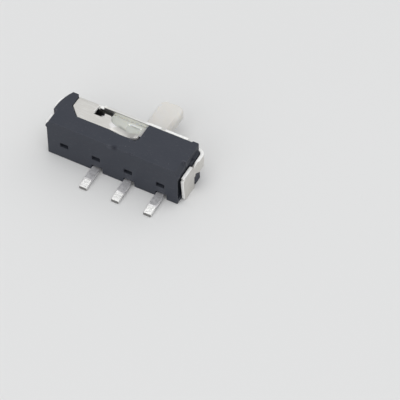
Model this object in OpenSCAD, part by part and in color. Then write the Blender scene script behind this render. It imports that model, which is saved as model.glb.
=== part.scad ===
// Miniature right-angle slide switch: moulded housing, stamped frame, sliding knob, three solder terminals.
// X runs along the length, the knob points to -Y, the terminals to +Y, and Z is up from the mounting face.

/* [Terminals] */
// distance between neighbouring terminals
pitch = 2.0; // [1.5:0.1:3]
// width of each terminal strip
pin_width = 0.47; // [0.3:0.01:0.8]
// thickness of each terminal strip
pin_thickness = 0.2; // [0.12:0.01:0.3]
// reach of the solder feet beyond the rear face
pin_reach = 1.5; // [0.5:0.1:3]
// inner radius of the bend inside the housing
pin_inner = 0.06; // [0.03:0.01:0.15]
// rise of the strip above the mounting face where it leaves the housing
pin_lift = 0.11; // [0:0.01:0.2]
// length of the tip that slopes down to the mounting face
pin_tip = 0.62; // [0.3:0.02:1]

/* [Knob] */
// travel of the knob from end to end
travel = 2.3; // [1.5:0.02:3]
// width of the knob along the travel
knob_width = 1.46; // [0.9:0.02:2]
// height of the knob
knob_height = 0.75; // [0.5:0.05:1]
// reach of the knob beyond the front plate
knob_reach = 2.54; // [1:0.02:5]
// radius of the two knob corners at the tip
knob_corner = 0.42; // [0.05:0.01:0.45]

/* [Housing] */
// wall at each end of the sliding chamber
end_wall = 0.58; // [0.45:0.01:1.5]
// wall behind the sliding chamber
rear_wall = 0.77; // [0.6:0.05:1.5]
// height of the sliding chamber
chamber_height = 1.86; // [1.5:0.02:2.6]
// depth of the carriage from front to rear
carriage_depth = 1.35; // [1.2:0.05:2]
// carriage beyond the outer bump of the moving contact
carriage_end = 0.3; // [0.3:0.05:0.8]
// plastic left above a terminal or a folded tab
floor_skin = 0.14; // [0.1:0.01:0.6]
// step of the shoulders beyond the end faces
shoulder_step = 0.2; // [0.1:0.02:0.4]
// length of the shoulders behind the front face
shoulder_length = 0.65; // [0.5:0.05:1]
// radius of the front corners of the shoulders
shoulder_round = 0.15; // [0.12:0.01:0.4]
// width of the core holes in the rear face
core_width = 0.5; // [0.3:0.02:0.8]
// height of the core holes in the rear face
core_height = 0.32; // [0.2:0.02:0.5]

/* [Frame] */
// thickness of the stamped sheet
sheet = 0.2; // [0.12:0.01:0.3]
// inner radius of the folds at the top flange and the tabs
fold_inner = 0.1; // [0.05:0.01:0.2]
// outer radius of the bends round the front corners
corner_radius = 0.45; // [0.35:0.05:0.6]
// width of each tab folded under the housing
tab_width = 0.63; // [0.4:0.01:0.9]
// length of each tab under the housing
tab_length = 0.48; // [0.4:0.02:0.8]
// width of the sheet below the slot
rim = 0.6; // [0.4:0.02:0.9]
// step from the plate's lower edge up to the corner strips
strip_step = 0.62; // [0.1:0.02:0.7]
// height of the housing above the corner strips
strip_drop = 0.52; // [0.4:0.02:0.8]
// length of each leg
leg_length = 1.16; // [0.8:0.01:1.6]

/* [Detent arm] */
// width of the flange that carries the arm
flange_width = 1.26; // [0.9:0.02:1.6]
// width of the arm
arm_width = 0.62; // [0.4:0.02:0.8]
// width of the tongue that rides on the carriage
tongue_width = 0.34; // [0.25:0.01:0.45]
// depth of the track in the top of the carriage
track = 0.12; // [0.06:0.01:0.2]
// depth of the two valleys below the track
valley_depth = 0.06; // [0.04:0.01:0.2]

/* [Fits] */
// play between the carriage and its chamber
play = 0.03; // [0.02:0.01:0.06]
// play between a contact, the arm or the knob and what it passes
slip = 0.02; // [0.01:0.005:0.04]
// free length of the slot beyond the knob at each end of its travel
slot_end = 0.08; // [0.02:0.01:0.3]
// gap between a leg of the frame and the end of the housing
leg_gap = 0.06; // [0:0.01:0.15]
// gap between a corner strip of the frame and the shoulder
strip_gap = 0.06; // [0.02:0.01:0.2]
// gap between the edge of the frame and the moulding round it
edge_gap = 0.03; // [0.01:0.01:0.06]

/* [Hidden] */
$fn = 48;
lap = 0.05;

// lengthwise
rest_x = -travel / 2;
carriage_half = pitch + carriage_end;
chamber_half = carriage_half + travel / 2 + play;
body_half = chamber_half + end_wall;
shoulder_half = body_half + shoulder_step;
frame_half = shoulder_half + strip_gap + sheet;
leg_outer = body_half + leg_gap + sheet;
slot_half = travel / 2 + knob_width / 2 + slot_end;
plate_half = body_half - 0.63;
tab_x = plate_half - tab_width / 2 - 0.04;

// front to rear
fold = sheet + fold_inner;
contact_room = 0.2;
depth = sheet + play + carriage_depth + contact_room + rear_wall;
plate_y = -depth / 2;
rear_y = depth / 2;
front_y = plate_y + sheet;
carriage_y0 = front_y + play;
carriage_y1 = carriage_y0 + carriage_depth;
chamber_y = carriage_y1 + contact_room;
bend_y = plate_y + corner_radius;
shoulder_y = front_y + shoulder_length;
lug_y = shoulder_y + 0.78;
leg_y0 = shoulder_y + 0.25;
leg_y1 = leg_y0 + leg_length;
tip_y = plate_y - knob_reach;
foot_y = rear_y + pin_reach;

// upwards
floor_z = max(pin_thickness + pin_lift, sheet) + floor_skin;
chamber_z = floor_z + chamber_height;
flange_z0 = chamber_z + 0.04;
flange_z1 = flange_z0 + sheet;
height = flange_z1 + 0.05;
carriage_z0 = floor_z + play;
carriage_z1 = chamber_z - play;
knob_z = floor_z + chamber_height / 2;
knob_z0 = knob_z - knob_height / 2;
slot_z0 = knob_z0 - 0.05;
slot_z1 = knob_z0 + knob_height + 0.05;
plate_z0 = slot_z0 - rim;
plate_z1 = flange_z1 - 0.01;
strip_z0 = plate_z0 + strip_step;
strip_z1 = height - strip_drop;
leg_z1 = strip_z1 - 0.22;
slope_z = strip_z1 + 0.14;
horn_z = strip_z1 + edge_gap;
arc_y = shoulder_y + 0.5;

// flange and detent arm on top
window_x0 = rest_x + 0.07;
flange_x1 = chamber_half - 0.16;
flange_x0 = flange_x1 - flange_width;
arm_y1 = chamber_y - 0.3;
arm_y0 = arm_y1 - arm_width;
corner_cut = 0.6;
bump_x = rest_x + 0.83;
crease_x = bump_x + 1.07;
arm_tip = bump_x - 0.42;
bump_z = carriage_z1 - track + slip;
tongue_y = arm_y1 - 0.1 - tongue_width;
track_y = tongue_y - 0.05;
valley_y = carriage_y0 + 0.165;

// detent valleys on the carriage, measured from the middle of the knob
valley_a = bump_x - rest_x;
valley_b = valley_a - travel;
valley_half = 0.43;
valley_r = (valley_half * valley_half + pow(track + valley_depth, 2)) / (2 * (track + valley_depth));

// terminals and the strip that bridges them, measured from the middle of the knob
term_x1 = pitch / 2;
term_x2 = term_x1 - pitch;
term_x3 = term_x2 - pitch;
nick_xs = [term_x2 + 0.88, term_x2 - 0.25];
pin_bend = pin_thickness + pin_inner;
pin_top = chamber_z - 0.4;
notch_z = floor_z - 0.07;
contact_sheet = 0.08;
contact_height = 0.72;
channel = 0.16;
contact_y = carriage_y1 - channel;
contact_rise = contact_room + channel - slip - contact_sheet;
contact_end = 0.4;
contact_xs = [for (i = [0 : 48]) contact_end - (pitch + contact_end + 0.2) * i / 48];
function bump(d) = abs(d) < contact_end ? (1 + cos(180 * d / contact_end)) / 2 : 0;
function contact_in(x) = contact_y + contact_rise * max(bump(x), bump(x + pitch));

// a flat shape drawn in X and Z, made a wall from y upwards
module wall_xz(y, thick) {
    translate([0, y + thick, 0]) rotate([90, 0, 0]) linear_extrude(thick) children();
}

// a flat shape drawn in Y and Z, made a wall from x upwards
module wall_yz(x, thick) {
    translate([x, 0, 0]) rotate([90, 0, 90]) linear_extrude(thick) children();
}

// a rectangle with round corners
module round_box(x0, y0, x1, y1, r) {
    translate([x0 + r, y0]) square([x1 - x0 - 2 * r, y1 - y0]);
    translate([x0, y0 + r]) square([x1 - x0, y1 - y0 - 2 * r]);
    for (x = [x0 + r, x1 - r]) for (y = [y0 + r, y1 - r]) translate([x, y]) circle(r);
}

// a bent strip: a quarter of a ring of outer radius r towards sx and sy, with straight ends that lap its neighbours
module bend(r, thick, sx, sy) {
    intersection() {
        difference() {
            circle(r);
            circle(r - thick);
        }
        translate([sx > 0 ? 0 : -2 * r, sy > 0 ? 0 : -2 * r]) square(2 * r);
    }
    translate([sx > 0 ? -lap : 0, sy > 0 ? r - thick : -r]) square([lap, thick]);
    translate([sx > 0 ? r - thick : -r, sy > 0 ? -lap : 0]) square([thick, lap]);
}

// outline of the opening that the flange closes, with room round the sheet
module seat_plan() {
    polygon([
        [crease_x, front_y - 1],
        [flange_x1 + edge_gap, front_y - 1],
        [flange_x1 + edge_gap, arm_y1 + edge_gap - corner_cut],
        [flange_x1 + edge_gap - corner_cut, arm_y1 + edge_gap],
        [crease_x, arm_y1 + edge_gap]
    ]);
}

// outline of the window in which the tongue rides on the carriage
module window_plan() {
    polygon([
        [window_x0, front_y - 1],
        [crease_x + lap, front_y - 1],
        [crease_x + lap, arm_y1 + edge_gap],
        [crease_x - 0.1, arm_y1 + edge_gap],
        [crease_x - 0.45, arm_y1 + edge_gap + 0.06],
        [window_x0 + 0.15, arm_y1 + edge_gap + 0.06],
        [window_x0, arm_y1 - 0.08]
    ]);
}

// one terminal strip, in Y and Z: contact face, bend, level strip and sloping tip
module pin_side() {
    y0 = chamber_y + pin_bend;
    y1 = foot_y - pin_tip;
    translate([chamber_y, pin_lift + pin_bend]) square([pin_thickness, pin_top - pin_bend - pin_lift]);
    translate([y0, pin_lift + pin_bend]) bend(pin_bend, pin_thickness, -1, -1);
    polygon([
        [y0, pin_lift],
        [y1, pin_lift],
        [foot_y, 0],
        [foot_y, pin_thickness],
        [y1, pin_lift + pin_thickness],
        [y0, pin_lift + pin_thickness]
    ]);
}

module terminal(x) {
    wall_yz(x - pin_width / 2, pin_width) pin_side();
}

// plan of the shoulders, round at the front corners
module shoulder_plan() {
    r = shoulder_round;
    translate([-shoulder_half, front_y + r]) square([2 * shoulder_half, shoulder_length - r]);
    translate([r - shoulder_half, front_y]) square([2 * (shoulder_half - r), shoulder_length]);
    for (s = [-1, 1]) translate([s * (shoulder_half - r), front_y + r]) circle(r);
}

// plan of the housing above the frame: corner blocks over the strips, a long curve at +X, a square block at -X
module top_plan() {
    x1 = shoulder_half - 0.14;
    r = 2.8;
    difference() {
        union() {
            translate([-body_half, front_y]) square([2 * body_half, rear_y - front_y]);
            polygon([
                [plate_half - 0.1, front_y + lap],
                [plate_half + 0.01, plate_y + 0.02],
                [x1, plate_y + 0.02],
                [x1, lug_y],
                [plate_half - 0.1, lug_y]
            ]);
            polygon([
                [-plate_half - 0.3, lug_y],
                [-plate_half - 0.3, plate_y + 0.12],
                [0.04 - x1, plate_y + 0.12],
                [-x1, plate_y + 0.16],
                [-x1, lug_y]
            ]);
        }
        difference() {
            translate([plate_half + 0.1, plate_y - 1]) square([2, arc_y - plate_y + 1]);
            translate([x1 - r, arc_y]) circle(r, $fn = 160);
        }
    }
}

// lug above the rear edge of the leg at one end
module rear_lug() {
    translate([body_half - lap, leg_y1 + edge_gap, strip_z1 - 0.02])
        cube([0.07 + lap, rear_y - leg_y1 - edge_gap, slope_z - strip_z1 + 0.02]);
}

// pocket in the end face behind the leg
module end_pocket() {
    translate([body_half - 0.15, leg_y0 + 0.1, 0.3])
        cube([1, rear_y - leg_y0 - 0.2, leg_z1 - 0.36]);
}

// what the sloping end of the roof leaves free over the leg
module end_slope() {
    wall_xz(lug_y, depth) polygon([
        [body_half - 0.15, height],
        [body_half - 0.15, height + 1],
        [body_half + 1, height + 1],
        [body_half + 1, slope_z],
        [body_half, slope_z]
    ]);
}

module housing() {
    color([0.24, 0.25, 0.28]) difference() {
        union() {
            translate([-body_half, front_y, 0]) cube([2 * body_half, rear_y - front_y, horn_z]);
            linear_extrude(horn_z) shoulder_plan();
            translate([0, 0, horn_z - lap]) linear_extrude(height - horn_z + lap) intersection() {
                top_plan();
                translate([-body_half, front_y]) square([2 * body_half, depth]);
            }
            translate([0, 0, horn_z]) linear_extrude(height - horn_z) top_plan();
            rear_lug();
            mirror([1, 0, 0]) rear_lug();
        }
        // sliding chamber, open to the front
        translate([-chamber_half, front_y - 1, floor_z])
            cube([2 * chamber_half, chamber_y - front_y + 1, chamber_height]);
        // window in the roof and seat of the flange
        translate([0, 0, chamber_z - lap]) linear_extrude(1) window_plan();
        translate([0, 0, chamber_z - lap]) linear_extrude(1) seat_plan();
        // slope over each leg
        end_slope();
        mirror([1, 0, 0]) end_slope();
        // pocket behind each leg
        end_pocket();
        mirror([1, 0, 0]) end_pocket();
        // nicks in the rear edge of the roof
        for (x = nick_xs) translate([x - 0.14, rear_y - 0.06, height - 0.07]) cube([0.28, 1, 1]);
        // core holes in the rear face, one behind each terminal and one spare
        for (x = [term_x1 + pitch, term_x1, term_x2, term_x3])
            translate([x - core_width / 2, chamber_y + pin_thickness, knob_z - 0.55])
                cube([core_width, rear_y, core_height]);
        // seats and notches of the terminals
        for (x = [term_x1, term_x2, term_x3]) {
            terminal(x);
            translate([x - pin_width / 2 - 0.14, chamber_y + pin_bend, -1])
                cube([pin_width + 0.19, rear_y, notch_z + 1]);
        }
        // seats of the folded tabs, with room for the bend
        for (s = [-1, 1]) translate([s * tab_x - tab_width / 2 - edge_gap, 0, 0]) {
            translate([0, front_y - 1, -1])
                cube([tab_width + 2 * edge_gap, 1 - sheet + tab_length + edge_gap, sheet + 1]);
            translate([0, front_y - 1, -1])
                cube([tab_width + 2 * edge_gap, 1 + fold_inner, fold + 1]);
        }
    }
}

// front plate of the frame, in X and Z
module plate_face() {
    difference() {
        union() {
            translate([-plate_half, plate_z0]) square([2 * plate_half, flange_z1 - fold - plate_z0]);
            translate([-plate_half, plate_z0]) square([plate_half + flange_x0 - 0.05, plate_z1 - plate_z0]);
            translate([corner_radius - frame_half, strip_z0])
                square([2 * (frame_half - corner_radius), strip_z1 - strip_z0]);
            for (s = [-1, 1]) translate([s * tab_x - tab_width / 2, fold])
                square([tab_width, plate_z0 - fold + lap]);
        }
        round_box(-slot_half, slot_z0, slot_half, slot_z1, 0.15);
        for (s = [-1, 1]) translate([s * (flange_x0 - 0.18) - 0.13, plate_z1 - 0.16]) square([0.26, 1]);
    }
}

// an end flange seen from the end, in Y and Z: strip, notch and leg, round in its lower inner corner
module leg_face() {
    r = 0.1;
    polygon([
        [bend_y, strip_z0],
        [leg_y0, strip_z0],
        [leg_y0, 0],
        [leg_y1 - 0.22, 0],
        [leg_y1 - 0.12, 0.14],
        [leg_y1 + 0.02, leg_z1 - 0.2],
        [leg_y1 - 0.15, leg_z1 - 0.16],
        [leg_y1 - 0.15, leg_z1 - 0.08],
        [leg_y1 - 0.01, leg_z1 - 0.05],
        [leg_y1 - 0.04, leg_z1],
        [leg_y0 + 0.14, leg_z1],
        [leg_y0 + 0.1, leg_z1 - 0.05],
        [leg_y0 + 0.07, leg_z1 - 0.27],
        [leg_y0 - 0.185, strip_z1],
        [bend_y, strip_z1]
    ]);
    translate([leg_y0 - r, strip_z0 - r]) difference() {
        square(r + lap);
        circle(r);
    }
}

// band that an end flange follows, seen from above
module leg_plan() {
    x0 = frame_half - sheet;
    x1 = leg_outer - sheet;
    polygon([
        [x0, bend_y],
        [frame_half, bend_y],
        [frame_half, shoulder_y],
        [leg_outer, shoulder_y + 0.3],
        [leg_outer, rear_y],
        [x1, rear_y],
        [x1, shoulder_y + 0.34],
        [x0, shoulder_y + 0.04]
    ]);
}

module end_flange() {
    translate([frame_half - corner_radius, bend_y, strip_z0]) linear_extrude(strip_z1 - strip_z0)
        bend(corner_radius, sheet, 1, -1);
    intersection() {
        linear_extrude(height) leg_plan();
        wall_yz(0, 2 * frame_half) leg_face();
    }
}

// height of the arm's lower face along X: level, down over the crease to the bump, then up at the tip
function arm_low(x) = x >= crease_x ? flange_z0
    : x >= bump_x ? bump_z + (flange_z0 - bump_z) * (1 - cos(180 * (x - bump_x) / (crease_x - bump_x))) / 2
    : bump_z + 0.12 * (1 - cos(180 * (bump_x - x) / (bump_x - arm_tip + 0.25)));
arm_xs = [for (i = [0 : 36]) crease_x + (arm_tip - lap - crease_x) * i / 36];

module arm_side() {
    polygon(concat(
        [[flange_x1, flange_z0], [flange_x1, flange_z1]],
        [for (x = arm_xs) [x, arm_low(x) + sheet]],
        [for (i = [0 : 36]) [arm_xs[36 - i], arm_low(arm_xs[36 - i])]]
    ));
}

// flange, step, crease and tongue of the detent arm, seen from above
module arm_plan() {
    step_y = arm_y0 - 0.3;
    tip_r = tongue_width / 2;
    polygon([
        [flange_x0, plate_y + fold],
        [flange_x1, plate_y + fold],
        [flange_x1, arm_y1 - corner_cut],
        [flange_x1 - corner_cut, arm_y1],
        [crease_x - 0.3, arm_y1 - 0.02],
        [arm_tip + tip_r, arm_y1 - 0.1],
        [arm_tip + tip_r, tongue_y],
        [crease_x - 0.2, tongue_y + 0.02],
        [crease_x + 0.1, tongue_y - 0.1],
        [crease_x + 0.33, step_y],
        [crease_x + 0.75, step_y],
        [crease_x + 0.63, arm_y0],
        [flange_x0, arm_y0]
    ]);
    translate([arm_tip + tip_r, tongue_y + tip_r]) circle(tip_r);
}

// tab folded under the housing, seen from below
module tab_plan() {
    w = tab_width / 2;
    y1 = plate_y + tab_length;
    polygon([
        [-w, plate_y + fold],
        [w, plate_y + fold],
        [w, y1 - 0.08],
        [w - 0.1, y1],
        [0.1 - w, y1],
        [-w, y1 - 0.08]
    ]);
}

module cover_frame() {
    color([0.8, 0.79, 0.77]) {
        wall_xz(plate_y, sheet) plate_face();
        end_flange();
        mirror([1, 0, 0]) end_flange();
        // fold to the top flange, then the flange with its arm
        wall_yz(flange_x0, flange_width)
            translate([plate_y + fold, flange_z1 - fold]) bend(fold, sheet, -1, 1);
        intersection() {
            linear_extrude(height) arm_plan();
            wall_xz(front_y - 1, depth + 1) arm_side();
        }
        // tabs folded under the housing
        for (s = [-1, 1]) translate([s * tab_x, 0, 0]) {
            wall_yz(-tab_width / 2, tab_width)
                translate([plate_y + fold, fold]) bend(fold, sheet, -1, -1);
            linear_extrude(sheet) tab_plan();
        }
    }
}

// knob seen from above, round at the tip
module knob_plan() {
    w = knob_width / 2;
    r = knob_corner;
    translate([-w, tip_y + r]) square([knob_width, carriage_y0 - tip_y - r + lap]);
    translate([r - w, tip_y]) square([knob_width - 2 * r, r + lap]);
    for (s = [-1, 1]) translate([s * (w - r), tip_y + r]) circle(r);
}

module slider() {
    color([0.84, 0.83, 0.8]) translate([rest_x, 0, 0]) difference() {
        union() {
            translate([-carriage_half, carriage_y0, carriage_z0])
                cube([2 * carriage_half, carriage_depth, carriage_z1 - carriage_z0]);
            translate([0, 0, knob_z0]) linear_extrude(knob_height) knob_plan();
        }
        // track of the detent arm with its two valleys
        translate([-carriage_half - 1, track_y, carriage_z1 - track])
            cube([2 * carriage_half + 2, carriage_depth, 1]);
        for (x = [valley_a, valley_b])
            translate([x, valley_y, carriage_z1 - track - valley_depth + valley_r]) rotate([-90, 0, 0])
                cylinder(r = valley_r, h = carriage_depth);
        // channel that holds the moving contact
        translate([-carriage_half - 1, contact_y, knob_z - contact_height / 2 - slip])
            cube([1 + carriage_half + contact_end + slip, 1, contact_height + 2 * slip]);
    }
}

// bridging contact: a strip with one bump at each end
module moving_contact() {
    color([0.78, 0.6, 0.36]) translate([rest_x, 0, knob_z - contact_height / 2])
        linear_extrude(contact_height) polygon(concat(
            [for (x = contact_xs) [x, contact_in(x)]],
            [for (i = [0 : 48]) [contact_xs[48 - i], contact_in(contact_xs[48 - i]) + contact_sheet]]
        ));
}

module terminal_1() {
    color([0.85, 0.85, 0.84]) terminal(term_x1);
}

module terminal_2() {
    color([0.85, 0.85, 0.84]) terminal(term_x2);
}

module terminal_3() {
    color([0.85, 0.85, 0.84]) terminal(term_x3);
}

housing();
cover_frame();
slider();
moving_contact();
terminal_1();
terminal_2();
terminal_3();
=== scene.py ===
import math
import bpy
import bmesh
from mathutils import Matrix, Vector
from mathutils.bvhtree import BVHTree


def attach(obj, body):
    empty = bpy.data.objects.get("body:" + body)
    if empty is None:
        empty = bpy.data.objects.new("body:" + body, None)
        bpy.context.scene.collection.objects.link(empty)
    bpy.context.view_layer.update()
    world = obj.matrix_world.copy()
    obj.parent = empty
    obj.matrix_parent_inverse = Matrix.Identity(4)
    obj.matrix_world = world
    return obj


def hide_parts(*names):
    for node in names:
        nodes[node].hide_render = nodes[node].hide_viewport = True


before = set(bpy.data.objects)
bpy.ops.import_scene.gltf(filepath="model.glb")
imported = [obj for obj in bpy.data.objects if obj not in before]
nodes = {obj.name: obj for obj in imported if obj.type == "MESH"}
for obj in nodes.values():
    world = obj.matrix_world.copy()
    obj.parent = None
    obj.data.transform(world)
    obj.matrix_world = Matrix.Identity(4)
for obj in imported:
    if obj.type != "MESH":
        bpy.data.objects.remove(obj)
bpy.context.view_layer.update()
scene = bpy.context.scene
scene.view_settings.view_transform = "Standard"
mm = 0.001
print("frame loaded:", ", ".join(sorted(nodes)))


cameraView = {
    "place": (-0.04186, 0.06986, 0.09397),
    "target": (-0.005003, 0.000427, 0.0),
    "lens": 202.7,
    "sensor": 36.0,
    "clip": (0.001, 10),
}


def buildCamera(v):
    data = bpy.data.cameras.new("photoCamera")
    data.lens = v["lens"]
    data.sensor_width = v["sensor"]
    data.clip_start, data.clip_end = v["clip"]
    cam = bpy.data.objects.new("photoCamera", data)
    scene.collection.objects.link(cam)
    cam.location = v["place"]
    aim = Vector(v["target"]) - Vector(v["place"])
    cam.rotation_euler = aim.to_track_quat("-Z", "Y").to_euler()
    scene.camera = cam


buildCamera(cameraView)
print("camera placed")


# node helpers

def addNode(tree, kind, values=None, **props):
    node = tree.nodes.new(kind)
    for key, value in props.items():
        setattr(node, key, value)
    for key, value in (values or {}).items():
        node.inputs[key].default_value = value
    return node


def join(tree, a, out, b, into):
    tree.links.new(a.outputs[out], b.inputs[into])


def newGroup(name, ins, outs):
    tree = bpy.data.node_groups.new(name, "ShaderNodeTree")
    for label, value in ins.items():
        sock = tree.interface.new_socket(label, in_out="INPUT", socket_type="NodeSocketFloat")
        sock.default_value = value
    for label in outs:
        tree.interface.new_socket(label, in_out="OUTPUT", socket_type="NodeSocketFloat")
    return tree, addNode(tree, "NodeGroupInput"), addNode(tree, "NodeGroupOutput")


def mixColor(tree, a, b, fac, blend="MIX"):
    node = addNode(tree, "ShaderNodeMix", data_type="RGBA", blend_type=blend)
    for socket, value in ((6, a), (7, b)):
        if isinstance(value, tuple):
            node.inputs[socket].default_value = (*value, 1)
        else:
            tree.links.new(value, node.inputs[socket])
    tree.links.new(fac, node.inputs[0])
    return node.outputs[2]


def mathNode(tree, op, a, b=None, clamp=False):
    node = addNode(tree, "ShaderNodeMath", operation=op, use_clamp=clamp)
    for i, value in enumerate((a, b)):
        if value is None:
            continue
        if isinstance(value, (int, float)):
            node.inputs[i].default_value = value
        else:
            tree.links.new(value, node.inputs[i])
    return node.outputs[0]


def product(tree, first, *others):
    for other in others:
        first = mathNode(tree, "MULTIPLY", first, other)
    return first


def remap(tree, value, lo, hi, toLo, toHi):
    node = addNode(tree, "ShaderNodeMapRange", {1: lo, 2: hi, 3: toLo, 4: toHi})
    tree.links.new(value, node.inputs[0])
    return node.outputs[0]


def ramp(tree, value, off, full):  # mask from 0 at off to 1 at full
    return remap(tree, value, off, full, 0.0, 1.0)


def millimetres(tree, stretch=(1, 1, 1)):  # object coordinates in mm, stretch draws marks out along an axis
    coord = addNode(tree, "ShaderNodeTexCoord")
    scale = addNode(tree, "ShaderNodeVectorMath", operation="MULTIPLY")
    scale.inputs[1].default_value = [1 / mm / s for s in stretch]
    join(tree, coord, "Object", scale, 0)
    return scale.outputs[0]


def splitAxes(tree):  # x, y and z in mm
    axes = addNode(tree, "ShaderNodeSeparateXYZ")
    tree.links.new(millimetres(tree), axes.inputs[0])
    return axes.outputs


def offBy(tree, value, middle):
    return mathNode(tree, "ABSOLUTE", mathNode(tree, "SUBTRACT", value, middle))


def awayFrom(tree, place):  # distance in mm from a place
    away = addNode(tree, "ShaderNodeVectorMath", {1: place}, operation="DISTANCE")
    tree.links.new(millimetres(tree), away.inputs[0])
    return away.outputs["Value"]


def noise(tree, vector, size, detail=2.0, rough=0.5):  # size in mm, a number or a socket
    node = addNode(tree, "ShaderNodeTexNoise", {"Detail": detail, "Roughness": rough})
    tree.links.new(vector, node.inputs["Vector"])
    if isinstance(size, (int, float)):
        node.inputs["Scale"].default_value = 1 / size
    else:
        tree.links.new(mathNode(tree, "DIVIDE", 1.0, size), node.inputs["Scale"])
    return node.outputs[0]


# shared surface effects

midNoise = (0.3, 0.7)  # where nearly all of a noise's values lie


def makeEdgeWear():  # mask of worn outer edges, broken up by noise
    tree, ins, outs = newGroup("edgeWear", {"Radius": 0.05, "Break Size": 0.3, "Reach": 0.5}, ["Mask"])
    bevel = addNode(tree, "ShaderNodeBevel", samples=4)
    tree.links.new(product(tree, ins.outputs["Radius"], mm), bevel.inputs["Radius"])
    geo = addNode(tree, "ShaderNodeNewGeometry")
    dot = addNode(tree, "ShaderNodeVectorMath", operation="DOT_PRODUCT")
    join(tree, bevel, 0, dot, 0)
    join(tree, geo, "Normal", dot, 1)
    edge = ramp(tree, dot.outputs["Value"], 0.995, 0.86)  # cosine of how far the edge turns
    broken = ramp(tree, noise(tree, millimetres(tree), ins.outputs["Break Size"], 4.0, 0.6), 0.35, 0.65)
    mask = mathNode(tree, "MULTIPLY", edge, product(tree, broken, ins.outputs["Reach"]), True)
    tree.links.new(mask, outs.inputs["Mask"])
    return tree


def makeMouldedGrain():  # fine spark texture of a mould, with a slow tint
    tree, ins, outs = newGroup("mouldedGrain", {"Grain": 0.03, "Cloud": 1.2}, ["Height", "Tint", "Fleck"])
    space = millimetres(tree)
    fine = noise(tree, space, ins.outputs["Grain"], 3.0, 0.6)
    pits = addNode(tree, "ShaderNodeTexVoronoi", feature="SMOOTH_F1")
    tree.links.new(space, pits.inputs["Vector"])
    tree.links.new(mathNode(tree, "DIVIDE", 0.6, ins.outputs["Grain"]), pits.inputs["Scale"])
    height = mathNode(tree, "ADD", product(tree, fine, 0.6), product(tree, pits.outputs[0], 0.4))
    tree.links.new(height, outs.inputs["Height"])
    cloud = noise(tree, space, ins.outputs["Cloud"], 4.0, 0.55)
    tree.links.new(ramp(tree, cloud, *midNoise), outs.inputs["Tint"])
    drawn = noise(tree, millimetres(tree, (6, 1, 1)), product(tree, ins.outputs["Grain"], 1.2), 1.0)
    tree.links.new(ramp(tree, drawn, 0.66, 0.74), outs.inputs["Fleck"])
    return tree


def makeRolledSheet():  # drawn-out rolling marks, stray scratches and cloudy plating
    tree, ins, outs = newGroup(
        "rolledSheet",
        {"Line": 0.012, "Cloud": 0.7, "Scratch": 0.35},
        ["Height", "Lines", "Cloud", "Scratches"],
    )
    lines = noise(tree, millimetres(tree, (60, 1, 1)), ins.outputs["Line"], 2.0, 0.6)
    tree.links.new(lines, outs.inputs["Lines"])
    cloud = noise(tree, millimetres(tree, (1.6, 1, 1)), ins.outputs["Cloud"], 5.0, 0.6)
    tree.links.new(ramp(tree, cloud, *midNoise), outs.inputs["Cloud"])
    space = millimetres(tree)
    marks = None
    for turn, shift in ((0.5, 3.1), (-0.9, 7.7), (1.9, 11.3)):  # three sets of scratches
        mapping = addNode(tree, "ShaderNodeMapping", {
            "Rotation": (turn * 0.4, turn, turn * 1.3),
            "Location": (shift, shift * 0.3, -shift),
            "Scale": (0.05, 1, 1),
        })
        tree.links.new(space, mapping.inputs["Vector"])
        fine = noise(tree, mapping.outputs[0], product(tree, ins.outputs["Scratch"], 0.1), 0.0)
        fine = ramp(tree, fine, 0.72, 0.76)
        marks = fine if marks is None else mathNode(tree, "MAXIMUM", marks, fine)
    tree.links.new(marks, outs.inputs["Scratches"])
    height = mathNode(tree, "SUBTRACT", product(tree, lines, 0.5), product(tree, marks, 0.6))
    tree.links.new(height, outs.inputs["Height"])
    return tree


def makeDust():  # sparse pale specks on faces that look up
    tree, ins, outs = newGroup("settledDust", {"Speck": 0.08, "Amount": 0.4}, ["Mask"])
    cells = addNode(tree, "ShaderNodeTexVoronoi")
    tree.links.new(millimetres(tree), cells.inputs["Vector"])
    tree.links.new(mathNode(tree, "DIVIDE", 0.4, ins.outputs["Speck"]), cells.inputs["Scale"])
    spot = remap(tree, cells.outputs["Distance"], 0.08, 0.14, 1.0, 0.0)
    pick = addNode(tree, "ShaderNodeSeparateColor")
    join(tree, cells, "Color", pick, 0)
    few = ramp(tree, pick.outputs[0], 0.72, 0.8)
    geo = addNode(tree, "ShaderNodeNewGeometry")
    axes = addNode(tree, "ShaderNodeSeparateXYZ")
    join(tree, geo, "Normal", axes, 0)
    upward = remap(tree, axes.outputs[2], 0.2, 0.9, 0.15, 1.0)
    upward = product(tree, upward, ins.outputs["Amount"])
    mask = mathNode(tree, "MULTIPLY", product(tree, spot, few), upward, True)
    tree.links.new(mask, outs.inputs["Mask"])
    return tree


edgeWear = makeEdgeWear()
mouldedGrain = makeMouldedGrain()
rolledSheet = makeRolledSheet()
settledDust = makeDust()
print("surface effects made")


# materials: lengths and places in mm, a pair runs from where a mask is off to where it is full

def newMaterial(name, shader):
    mat = bpy.data.materials.new(name)
    mat.use_nodes = True
    tree = mat.node_tree
    tree.nodes.clear()
    out = addNode(tree, "ShaderNodeOutputMaterial")
    bsdf = addNode(tree, "ShaderNodeBsdfPrincipled", shader)
    join(tree, bsdf, 0, out, 0)
    return mat, tree, bsdf


def useGroup(tree, group, values):
    return addNode(tree, "ShaderNodeGroup", values, node_tree=group)


def addBump(tree, bsdf, height, depth):
    bump = addNode(tree, "ShaderNodeBump", {"Strength": 1.0, "Distance": depth * mm})
    tree.links.new(height, bump.inputs["Height"])
    join(tree, bump, 0, bsdf, "Normal")


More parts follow.
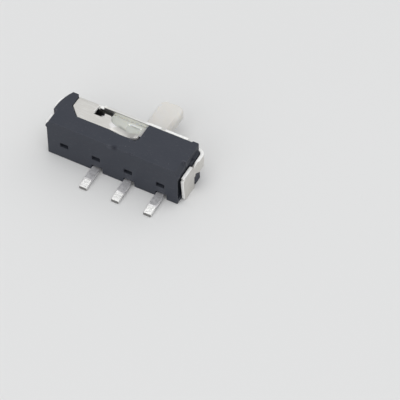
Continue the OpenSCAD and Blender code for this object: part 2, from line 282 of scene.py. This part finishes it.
housingLook = {
    "color": (0.0330, 0.0375, 0.0505),
    "cloudColor": (0.0400, 0.0440, 0.0570),
    "grain": {"Grain": 0.035, "Cloud": 1.4},
    "grainDepth": 0.0035,
    "fleckColor": (0.075, 0.078, 0.086),
    "fleckShare": 0.5,
    "wornColor": (0.075, 0.078, 0.088),
    "wear": {"Radius": 0.05, "Break Size": 0.25, "Reach": 0.55},
    "wornGloss": 0.14,
    "dustColor": (0.30, 0.30, 0.29),
    "dust": {"Speck": 0.07, "Amount": 0.35},
    "stepLight": (0.062, 0.065, 0.080),  # painted light: the small step where the sloping ends begin is coloured lighter to lift the shade on it
    "stepX": (3.88, 3.90),
    "stepY": 0.355,
    "stepReach": (0.09, 0.03),
    "stepZ": (2.17, 2.21),
    "gateMarks": (  # where the mould was filled: place, radius and colour
        ((-0.20, 1.26, 2.56), 0.22, (0.013, 0.015, 0.025)),
        ((0.13, 1.275, 2.48), 0.20, (0.054, 0.058, 0.072)),
    ),
    "gateCore": 0.4,
    "gateShare": 0.8,
    "roughness": (0.52, 0.62),
    "specular": 0.32,
}


def makeHousingPlastic(v):
    mat, tree, bsdf = newMaterial("housingPlastic", {"Specular IOR Level": v["specular"]})
    grain = useGroup(tree, mouldedGrain, v["grain"])
    wear = useGroup(tree, edgeWear, v["wear"])
    dust = useGroup(tree, settledDust, v["dust"])
    color = mixColor(tree, v["color"], v["cloudColor"], grain.outputs["Tint"])
    flecks = product(tree, grain.outputs["Fleck"], v["fleckShare"])
    color = mixColor(tree, color, v["fleckColor"], flecks)
    color = mixColor(tree, color, v["wornColor"], wear.outputs["Mask"])
    color = mixColor(tree, color, v["dustColor"], dust.outputs["Mask"])
    x, y, z = splitAxes(tree)
    step = product(
        tree,
        ramp(tree, mathNode(tree, "ABSOLUTE", x), *v["stepX"]),
        ramp(tree, offBy(tree, y, v["stepY"]), *v["stepReach"]),
        ramp(tree, z, *v["stepZ"]),
    )
    # painted light lifting the shade on the step face
    color = mixColor(tree, color, v["stepLight"], step)
    for place, radius, tone in v["gateMarks"]:
        spot = remap(tree, awayFrom(tree, place), radius, v["gateCore"] * radius, 0.0, v["gateShare"])
        color = mixColor(tree, color, tone, spot)
    tree.links.new(color, bsdf.inputs["Base Color"])
    rough = remap(tree, grain.outputs["Tint"], 0.0, 1.0, *v["roughness"])
    rough = mathNode(tree, "SUBTRACT", rough, product(tree, wear.outputs["Mask"], v["wornGloss"]))
    tree.links.new(rough, bsdf.inputs["Roughness"])
    addBump(tree, bsdf, grain.outputs["Height"], v["grainDepth"])
    return mat


ivoryLook = {
    "color": (0.690, 0.672, 0.642),
    "cloudColor": (0.725, 0.707, 0.675),
    "grain": {"Grain": 0.05, "Cloud": 0.9},
    "grainDepth": 0.0012,
    "edgeColor": (0.730, 0.718, 0.695),
    "wear": {"Radius": 0.06, "Break Size": 0.3, "Reach": 0.4},
    "carriageShade": (0.585, 0.597, 0.555),  # painted shade on the carriage behind the front plate
    "carriageShadeY": (-1.12, -1.06),
    "farEndShade": (0.47, 0.465, 0.455),  # painted shade on its end beside the roof
    "farEndShadeX": (-0.72, -0.92),
    "bowlHighlight": (0.98, 0.98, 0.95),  # painted highlight along the front of the bowl under the spring
    "bowlHighlightY": (-0.81, -0.83),
    "bowlHighlightTop": (2.275, 2.265),
    "bowlHighlightBottom": (2.18, 2.2),
    "fingerShadow": (0.34, 0.345, 0.32),  # painted shadow: dark line that the spring casts beside itself
    "fingerShadowShare": 0.9,
    "fingerShadowLine": (-0.255, -0.313),  # slope and Y at X = 0
    "fingerShadowReach": (0.14, 0.02),
    "fingerShadowX": ((-0.5, -0.35), (0.6, 0.35)),
    "track": (0.09, 0.09, 0.092),  # painted shade in the groove behind the spring's tip
    "trackY": (-0.33, -0.30),
    "roughness": (0.34, 0.44),
    "scatter": 0.5,
    "scatterRadius": (0.9, 0.8, 0.65),
    "scatterDepth": 0.3,
    "specular": 0.42,
    "ior": 1.48,
}


def makeIvoryPlastic(v):
    mat, tree, bsdf = newMaterial("ivoryPlastic", {
        "Subsurface Weight": v["scatter"],
        "Subsurface Radius": v["scatterRadius"],
        "Subsurface Scale": v["scatterDepth"] * mm,
        "Specular IOR Level": v["specular"],
        "IOR": v["ior"],
    })
    grain = useGroup(tree, mouldedGrain, v["grain"])
    wear = useGroup(tree, edgeWear, v["wear"])
    color = mixColor(tree, v["color"], v["cloudColor"], grain.outputs["Tint"])
    color = mixColor(tree, color, v["edgeColor"], wear.outputs["Mask"])
    x, y, z = splitAxes(tree)
    # painted shade over the carriage behind the front plate
    inside = ramp(tree, y, *v["carriageShadeY"])
    color = mixColor(tree, color, v["carriageShade"], inside)
    # painted shade towards the carriage's end beside the roof
    color = mixColor(tree, color, v["farEndShade"], product(tree, inside, ramp(tree, x, *v["farEndShadeX"])))
    # painted highlight along the bowl's front rim
    bowlHighlight = product(
        tree,
        ramp(tree, y, *v["bowlHighlightY"]),
        ramp(tree, z, *v["bowlHighlightTop"]),
        ramp(tree, z, *v["bowlHighlightBottom"]),
        inside,
    )
    color = mixColor(tree, color, v["bowlHighlight"], bowlHighlight)
    # painted shadow of the spring finger on the carriage
    slope, middle = v["fingerShadowLine"]
    line = mathNode(tree, "ADD", product(tree, x, slope), middle)
    fingerShadow = remap(tree, offBy(tree, y, line), *v["fingerShadowReach"], 0.0, v["fingerShadowShare"])
    for end in v["fingerShadowX"]:
        fingerShadow = product(tree, fingerShadow, ramp(tree, x, *end))
    color = mixColor(tree, color, v["fingerShadow"], fingerShadow)
    # painted shade in the groove behind the spring's tip
    color = mixColor(tree, color, v["track"], ramp(tree, y, *v["trackY"]))
    tree.links.new(color, bsdf.inputs["Base Color"])
    tree.links.new(remap(tree, grain.outputs["Tint"], 0.0, 1.0, *v["roughness"]), bsdf.inputs["Roughness"])
    addBump(tree, bsdf, grain.outputs["Height"], v["grainDepth"])
    return mat


sheetLook = {
    "color": (0.86, 0.838, 0.795),
    "dullColor": (0.775, 0.758, 0.722),
    "sheet": {"Line": 0.012, "Cloud": 0.8, "Scratch": 0.35},
    "lineDepth": 0.0012,
    "scratchColor": (0.95, 0.94, 0.925),
    "scratchShare": 0.6,
    # edge wear colour, also used for the painted highlight on the bend at the finger's root
    "wornColor": (1.0, 0.99, 0.98),
    "wear": {"Radius": 0.04, "Break Size": 0.2, "Reach": 0.7},
    "endTone": (0.84, 0.84, 0.84),  # the bent ends are coloured darker
    "endX": (4.0, 4.15),
    "innerFaceLight": (0.96, 0.955, 0.92),  # painted light brightening the plate's face towards the carriage
    "innerX": (1.84, 1.8),
    "innerRear": (-1.11, -1.09),
    "innerFront": (-1.04, -1.05),
    "rimShade": (0.36, 0.355, 0.335),  # painted shade as a thin line along its upper edge
    "rimShadeZ": (2.47, 2.51),
    "fingerTipShade": (0.60, 0.59, 0.56),  # painted shade in the hollow of the spring's tip
    "fingerX": (0.60, 0.30),
    "fingerY": (-0.45, -0.40),
    "fingerZ": (2.1, 2.12),
    "crease": (0.69, -0.22, 2.5),  # painted highlight on the bend at its root
    "creaseReach": (0.27, 0.135),
    "roughness": (0.32, 0.42),
    "cloudRough": 0.08,
}


def makePlatedSheet(v):
    mat, tree, bsdf = newMaterial("platedSheet", {"Metallic": 1.0})
    sheet = useGroup(tree, rolledSheet, v["sheet"])
    wear = useGroup(tree, edgeWear, v["wear"])
    color = mixColor(tree, v["color"], v["dullColor"], sheet.outputs["Cloud"])
    scratches = product(tree, sheet.outputs["Scratches"], v["scratchShare"])
    color = mixColor(tree, color, v["scratchColor"], scratches)
    color = mixColor(tree, color, v["wornColor"], wear.outputs["Mask"])
    x, y, z = splitAxes(tree)
    ends = ramp(tree, mathNode(tree, "ABSOLUTE", x), *v["endX"])
    color = mixColor(tree, color, v["endTone"], ends, "MULTIPLY")
    # painted light on the plate's face towards the carriage
    inner = product(
        tree,
        ramp(tree, y, *v["innerRear"]),
        ramp(tree, y, *v["innerFront"]),
        ramp(tree, x, *v["innerX"]),
    )
    color = mixColor(tree, color, v["innerFaceLight"], inner)
    # painted shade along the plate's inner upper edge
    color = mixColor(tree, color, v["rimShade"], product(tree, inner, ramp(tree, z, *v["rimShadeZ"])))
    # painted shade in the hollow of the spring's tip
    tip = product(
        tree,
        ramp(tree, x, *v["fingerX"]),
        ramp(tree, z, *v["fingerZ"]),
        ramp(tree, y, *v["fingerY"]),
    )
    color = mixColor(tree, color, v["fingerTipShade"], tip)
    # painted highlight on the bend at the finger's root
    bright = ramp(tree, awayFrom(tree, v["crease"]), *v["creaseReach"])
    color = mixColor(tree, color, v["wornColor"], bright)
    tree.links.new(color, bsdf.inputs["Base Color"])
    rough = remap(tree, sheet.outputs["Lines"], *midNoise, *v["roughness"])
    rough = mathNode(tree, "ADD", rough, product(tree, sheet.outputs["Cloud"], v["cloudRough"]))
    tree.links.new(rough, bsdf.inputs["Roughness"])
    addBump(tree, bsdf, sheet.outputs["Height"], v["lineDepth"])
    return mat


cutLook = {
    "burnished": (0.98, 0.975, 0.96),
    "torn": (0.82, 0.815, 0.80),
    "grain": {"Grain": 0.025, "Cloud": 0.15},
    "depth": 0.002,
    "dull": (0.66, 0.655, 0.64),  # the plate's upper edge over the window is coloured darker
    "dullX": ((-1.2, -0.7), (1.75, 1.55)),
    "dullZ": (2.45, 2.5),
    "metal": 0.05,
    "roughness": (0.55, 0.75),
}


def makeShearedEdge(v):  # cut faces of the sheet, burnished in places and torn in others
    mat, tree, bsdf = newMaterial("shearedEdge", {"Metallic": v["metal"]})
    grain = useGroup(tree, mouldedGrain, v["grain"])
    color = mixColor(tree, v["burnished"], v["torn"], grain.outputs["Tint"])
    axes = splitAxes(tree)
    dull = ramp(tree, axes["Z"], *v["dullZ"])
    for end in v["dullX"]:
        dull = product(tree, dull, ramp(tree, axes["X"], *end))
    color = mixColor(tree, color, v["dull"], dull)
    tree.links.new(color, bsdf.inputs["Base Color"])
    tree.links.new(remap(tree, grain.outputs["Tint"], 0.0, 1.0, *v["roughness"]), bsdf.inputs["Roughness"])
    addBump(tree, bsdf, grain.outputs["Height"], v["depth"])
    return mat


footLook = {
    "bare": (0.68, 0.67, 0.68),
    "bareCloud": (1.0, 0.99, 1.0),
    "sheet": {"Line": 0.015, "Cloud": 0.16, "Scratch": 0.3},
    "cloudHeight": 1.5,
    "depth": 0.003,
    "tinned": (0.88, 0.875, 0.86),
    "tinY": (2.155, 2.255),  # where the tin begins
    "tinWobble": {"size": 0.12, "reach": 0.06},
    "tinGloss": 0.2,
    "wear": {"Radius": 0.04, "Break Size": 0.15, "Reach": 0.6},
    "footEndShade": (0.24, 0.235, 0.23),  # painted shade on the cut end of the strip
    "footEndShadeY": (2.75, 2.765),
    "metal": 0.92,
    "roughness": (0.42, 0.56),
}


def makeTinnedFoot(v):
    mat, tree, bsdf = newMaterial("tinnedFoot", {"Metallic": v["metal"]})
    sheet = useGroup(tree, rolledSheet, v["sheet"])
    wear = useGroup(tree, edgeWear, v["wear"])
    along = splitAxes(tree)["Y"]
    wobble = noise(tree, millimetres(tree), v["tinWobble"]["size"])
    wobble = remap(tree, wobble, *midNoise, -v["tinWobble"]["reach"], v["tinWobble"]["reach"])
    tin = ramp(tree, mathNode(tree, "ADD", along, wobble), *v["tinY"])
    color = mixColor(tree, v["bare"], v["bareCloud"], sheet.outputs["Cloud"])
    color = mixColor(tree, color, v["tinned"], tin)
    color = mixColor(tree, color, v["tinned"], wear.outputs["Mask"])
    # painted shade on the feet's cut ends
    color = mixColor(tree, color, v["footEndShade"], ramp(tree, along, *v["footEndShadeY"]))
    tree.links.new(color, bsdf.inputs["Base Color"])
    rough = remap(tree, sheet.outputs["Lines"], *midNoise, *v["roughness"])
    rough = mathNode(tree, "SUBTRACT", rough, product(tree, tin, v["tinGloss"]))
    tree.links.new(rough, bsdf.inputs["Roughness"])
    uneven = product(tree, sheet.outputs["Cloud"], v["cloudHeight"])
    addBump(tree, bsdf, mathNode(tree, "ADD", sheet.outputs["Height"], uneven), v["depth"])
    return mat


contactLook = {
    "color": (0.70, 0.47, 0.25),
    "dull": (0.50, 0.33, 0.19),
    "sheet": {"Line": 0.01, "Cloud": 0.4, "Scratch": 0.3},
    "depth": 0.001,
    "roughness": (0.24, 0.36),
}


def makeContactBronze(v):
    mat, tree, bsdf = newMaterial("contactBronze", {"Metallic": 1.0})
    sheet = useGroup(tree, rolledSheet, v["sheet"])
    color = mixColor(tree, v["color"], v["dull"], sheet.outputs["Cloud"])
    tree.links.new(color, bsdf.inputs["Base Color"])
    tree.links.new(remap(tree, sheet.outputs["Lines"], *midNoise, *v["roughness"]), bsdf.inputs["Roughness"])
    addBump(tree, bsdf, sheet.outputs["Height"], v["depth"])
    return mat


housingPlastic = makeHousingPlastic(housingLook)
ivoryPlastic = makeIvoryPlastic(ivoryLook)
platedSheet = makePlatedSheet(sheetLook)
shearedEdge = makeShearedEdge(cutLook)
tinnedFoot = makeTinnedFoot(footLook)
contactBronze = makeContactBronze(contactLook)
print("materials made")


# pieces

seamGap = 1e-7  # metres between corners that are one corner
flatAngle = math.radians(0.6)  # faces that meet at less are one flat face
sharpAngle = math.radians(28)  # edges that turn by more are rounded
creaseAngle = math.radians(50)  # after rounding, edges that turn by more are shaded sharp
hair = 1e-6  # metres, far below any size of the part


def setMaterials(obj, *mats):
    obj.data.materials.clear()
    for mat in mats:
        obj.data.materials.append(mat)


def evenNormals(obj):
    shade = obj.modifiers.new("evenNormals", "WEIGHTED_NORMAL")
    shade.keep_sharp = True


def softenEdges(obj, v):  # rounds a frame node's edges without touching its mesh
    weld = obj.modifiers.new("weld", "WELD")
    weld.merge_threshold = seamGap
    flat = obj.modifiers.new("joinFlats", "DECIMATE")
    flat.decimate_type = "DISSOLVE"
    flat.angle_limit = flatAngle
    bevel = obj.modifiers.new("softEdges", "BEVEL")
    bevel.width = v["edge"] * mm
    bevel.segments = v["segments"]
    bevel.limit_method = "ANGLE"
    bevel.angle_limit = sharpAngle
    bevel.use_clamp_overlap = False
    bevel.miter_outer = "MITER_ARC"
    evenNormals(obj)


housingShape = {"edge": 0.035, "segments": 3}
setMaterials(nodes["housing"], housingPlastic)
softenEdges(nodes["housing"], housingShape)

footShape = {"edge": 0.03, "segments": 3}
for name in ("terminal_1", "terminal_2", "terminal_3"):
    setMaterials(nodes[name], tinnedFoot)
    softenEdges(nodes[name], footShape)

contactShape = {"edge": 0.012, "segments": 2}
setMaterials(nodes["moving_contact"], contactBronze)
softenEdges(nodes["moving_contact"], contactShape)
print("housing, terminals and contact dressed")


def copyMesh(node):  # the node's mesh with its seams joined
    bm = bmesh.new()
    bm.from_mesh(nodes[node].data)
    bmesh.ops.remove_doubles(bm, verts=bm.verts, dist=seamGap)
    bm.normal_update()
    return bm


def joinFlats(bm, delimit=frozenset()):
    bmesh.ops.dissolve_limit(bm, angle_limit=flatAngle, verts=bm.verts, edges=bm.edges, delimit=set(delimit))
    bm.normal_update()


def sharpEdges(bm, test=None):
    found = []
    for e in bm.edges:
        if len(e.link_faces) == 2 and e.calc_face_angle() > sharpAngle:
            if test is None or test(e):
                found.append(e)
    return found


def roundOff(bm, edges, width, segments):
    bmesh.ops.bevel(
        bm, geom=edges, offset=width * mm, offset_type="OFFSET", segments=segments, profile=0.5,
        affect="EDGES", clamp_overlap=False, material=-1, miter_outer="ARC",
    )
    bm.normal_update()


def finishPiece(bm, name, mats, body):
    for f in bm.faces:
        f.smooth = True
    mesh = bpy.data.meshes.new(name)
    for mat in mats:
        mesh.materials.append(mat)
    bm.to_mesh(mesh)
    bm.free()
    obj = bpy.data.objects.new(name, mesh)
    scene.collection.objects.link(obj)
    mesh.set_sharp_from_angle(angle=creaseAngle)
    evenNormals(obj)
    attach(obj, body)
    return obj


# stamped frame: rolled faces and cut faces get their own finish
sheetShape = {
    "thickness": 0.2,
    "thickSlack": 1.2,
    "edge": 0.03,
    "segments": 3,
    "tinyEdge": 0.004,  # shorter edges would spoil the rounding
    "flatFrom": (3.0, -0.9, 2.0),  # bounds in X, Y and Z of the flange and the spring finger
    "flatLimit": 0.7,  # their rolled faces look up or down
    "stripFrom": 3.5,  # bent strips at both ends
    "stripBottom": 0.975,
    "stripSlack": 0.01,
    "stripRise": 0.2,
    "stripTop": (-0.2, 2.0),  # at the far end, before this Y and above this Z
    "stripDrop": 0.14,
    "legTop": (4.0, -0.15, 1.4),
    "legLift": 0.17,
    "fingerY": (-0.3, 0.2),
    "fingerZ": 2.05,
    "fingerFrom": -0.35,  # the finger is drawn out from here
    "fingerTip": -0.74,
    "fingerGrow": 0.21,
    "fingerSlope": 0.536,
}


def sortFaces(bm, v):  # 0 for rolled faces, 1 for cut ones
    tree = BVHTree.FromBMesh(bm)
    flatX, flatY, flatZ = v["flatFrom"]
    for f in bm.faces:
        n = f.normal
        start = f.calc_center_median() - n * hair
        thick = tree.ray_cast(start, -n, 1.0)[3]
        rolled = thick is not None and thick < v["thickSlack"] * v["thickness"] * mm
        x, y, z = start / mm
        if abs(x) < flatX and y > flatY and z > flatZ:
            rolled = abs(n.z) > v["flatLimit"]
        f.material_index = 0 if rolled else 1


def bendSheet(bm, v):  # raises both strips' lower edges, bends the far end its own way, draws out the finger
    legX, legY, legZ = v["legTop"]
    stripY, stripZ = v["stripTop"]
    root, tip = v["fingerFrom"], v["fingerTip"]
    for p in bm.verts:
        x, y, z = p.co / mm
        if abs(x) > v["stripFrom"] and abs(z - v["stripBottom"]) < v["stripSlack"]:
            p.co.z += v["stripRise"] * mm
        if x > legX and y > legY and z > legZ:
            p.co.z += v["legLift"] * mm
        elif x > v["stripFrom"] and y < stripY and z > stripZ:
            p.co.z -= v["stripDrop"] * mm
        elif x < root and v["fingerY"][0] < y < v["fingerY"][1] and z > v["fingerZ"]:
            grown = x - v["fingerGrow"] * (root - x) / (root - tip)
            p.co.z += v["fingerSlope"] * (x - max(grown, tip)) * mm
            p.co.x = grown * mm


def buildSheetFrame(v):
    bm = copyMesh("cover_frame")
    sortFaces(bm, v)
    bendSheet(bm, v)
    bmesh.ops.remove_doubles(bm, verts=bm.verts, dist=v["tinyEdge"] * mm)
    joinFlats(bm, {"MATERIAL"})
    roundOff(bm, sharpEdges(bm), v["edge"], v["segments"])
    return finishPiece(bm, "sheetFrame", (platedSheet, shearedEdge), "base")


sheetFrame = buildSheetFrame(sheetShape)
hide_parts("cover_frame")
print("stamped frame built:", len(sheetFrame.data.polygons), "faces")


# ribs that fill the housing's ends behind the bent strips
ribShape = {
    "plan": ((4.03, -0.44), (4.26, -0.44), (4.26, -0.38), (4.085, -0.105), (4.03, -0.105)),
    "bottom": 0.2,
    "top": 2.06,
    "edge": 0.02,
    "segments": 2,
}


def buildRibs(v):
    bm = bmesh.new()
    for side in (-1, 1):
        low = [bm.verts.new((side * x * mm, y * mm, v["bottom"] * mm)) for x, y in v["plan"]]
        face = bm.faces.new(low if side < 0 else low[::-1])
        lifted = bmesh.ops.extrude_face_region(bm, geom=[face])["geom"]
        for p in lifted:
            if isinstance(p, bmesh.types.BMVert):
                p.co.z = v["top"] * mm
    bmesh.ops.recalc_face_normals(bm, faces=bm.faces)
    roundOff(bm, sharpEdges(bm), v["edge"], v["segments"])
    return finishPiece(bm, "endRibs", (housingPlastic,), "base")


endRibs = buildRibs(ribShape)
print("end ribs built:", len(endRibs.data.polygons), "faces")


# knob and carriage in one moulding
sliderShape = {
    "edge": 0.03,
    "edgeSegments": 3,
    "knobCorner": 0.28,
    "cornerSegments": 6,
    "cornerHeight": 0.3,  # edges that rise by more are corners
    "knobEdge": 0.21,
    "knobSegments": 5,
    "front": -1.045,  # the carriage's front, where the knob begins
    "frontSlack": 0.005,
    "fill": 0.022,  # the carriage runs this much closer behind the plate
}


def buildSlider(v):
    bm = copyMesh("slider")
    joinFlats(bm)
    front = v["front"] * mm
    knobStart = front - v["frontSlack"] * mm

    def atFront(p):
        return abs(p.co.y - front) < hair

    def knobRoot(e):
        return all(atFront(p) for p in e.verts) and e.is_manifold and not e.is_convex

    def onCarriage(e):
        return all(p.co.y > knobStart for p in e.verts) and not knobRoot(e)

    def onKnob(e):
        return sum(p.co.y for p in e.verts) / 2 < knobStart

    def upright(e):
        return onKnob(e) and abs(e.verts[0].co.z - e.verts[1].co.z) > v["cornerHeight"] * mm

    roundOff(bm, sharpEdges(bm, onCarriage), v["edge"], v["edgeSegments"])
    roundOff(bm, sharpEdges(bm, upright), v["knobCorner"], v["cornerSegments"])
    roundOff(bm, sharpEdges(bm, onKnob), v["knobEdge"], v["knobSegments"])
    for p in bm.verts:
        if atFront(p):
            p.co.y -= v["fill"] * mm
    return finishPiece(bm, "knobSlider", (ivoryPlastic,), "slider")


knobSlider = buildSlider(sliderShape)
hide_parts("slider")
print("knob and carriage built:", len(knobSlider.data.polygons), "faces")


# floor and light
stageLook = {
    "floor": (0.735, 0.735, 0.732),
    "roughness": 0.75,
    "specular": 0.1,
    "size": 1.2,
    "drop": 0.01,  # mm below the part
    "sky": (0.98, 0.99, 1.0),
    "skyPower": 0.66,
}


def buildStage(v):
    half = v["size"] / 2
    mesh = bpy.data.meshes.new("floor")
    corners = [(-half, -half, 0), (half, -half, 0), (half, half, 0), (-half, half, 0)]
    mesh.from_pydata(corners, [], [(0, 1, 2, 3)])
    floor = bpy.data.objects.new("floor", mesh)
    floor.location.z = -v["drop"] * mm
    scene.collection.objects.link(floor)
    mat = newMaterial("paleFloor", {
        "Base Color": (*v["floor"], 1),
        "Roughness": v["roughness"],
        "Specular IOR Level": v["specular"],
    })[0]
    setMaterials(floor, mat)
    world = bpy.data.worlds.new("softSky")
    scene.world = world
    world.use_nodes = True
    sky = world.node_tree.nodes["Background"]
    sky.inputs["Color"].default_value = (*v["sky"], 1)
    sky.inputs["Strength"].default_value = v["skyPower"]


lampLook = {
    "top": {"place": (-0.03, 0.05, 0.42), "size": 0.42, "power": 0.62},
    "rear": {"place": (0.05, 0.38, 0.22), "size": 0.34, "power": 0.36},
    "front": {"place": (-0.16, -0.28, 0.26), "size": 0.24, "power": 0.12},
}


def buildLamps(v):
    for name, lamp in v.items():
        data = bpy.data.lights.new(name + "Lamp", "AREA")
        data.shape = "SQUARE"
        data.size = lamp["size"]
        data.energy = lamp["power"]
        obj = bpy.data.objects.new(name + "Lamp", data)
        scene.collection.objects.link(obj)
        obj.location = lamp["place"]
        obj.rotation_euler = (-Vector(lamp["place"])).to_track_quat("-Z", "Y").to_euler()


buildStage(stageLook)
buildLamps(lampLook)
print("floor and lamps placed")
